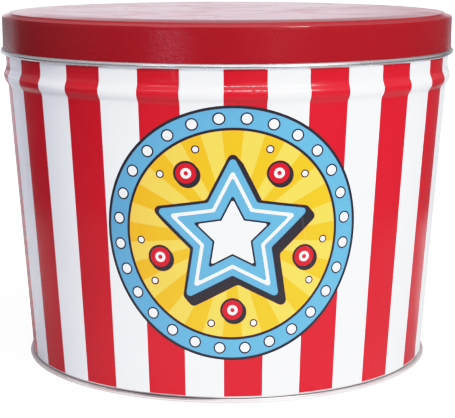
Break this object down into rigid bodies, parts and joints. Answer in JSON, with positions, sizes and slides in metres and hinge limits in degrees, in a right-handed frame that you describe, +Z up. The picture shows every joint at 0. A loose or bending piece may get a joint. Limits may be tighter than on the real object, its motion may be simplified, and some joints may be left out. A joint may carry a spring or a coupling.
{
  "type": "lidded popcorn tin",
  "caption": "Shut round steel popcorn tin that tapers to its base, with red and white stripes, a round print panel, a red press-on lid and bare metal rims.",
  "frame": {"origin": "centre of the base, on the plane that the bottom seam stands on", "axes": "+Z up along the tin's axis; the middle of the printed round panel faces -Y and the wall's lock seam faces +Y"},
  "size_m": [0.251, 0.251, 0.1922],
  "materials": {
    "printed_wall": "gloss print in red and white stripes with a yellow and blue round panel",
    "red_lacquer": "gloss red lacquer",
    "bare_tinplate": "bright bare tinplate"
  },
  "bodies": {
    "root": {"tin_body": "printed_wall", "lid": "red_lacquer", "bottom_end": "bare_tinplate"}
  },
  "joints": []
}
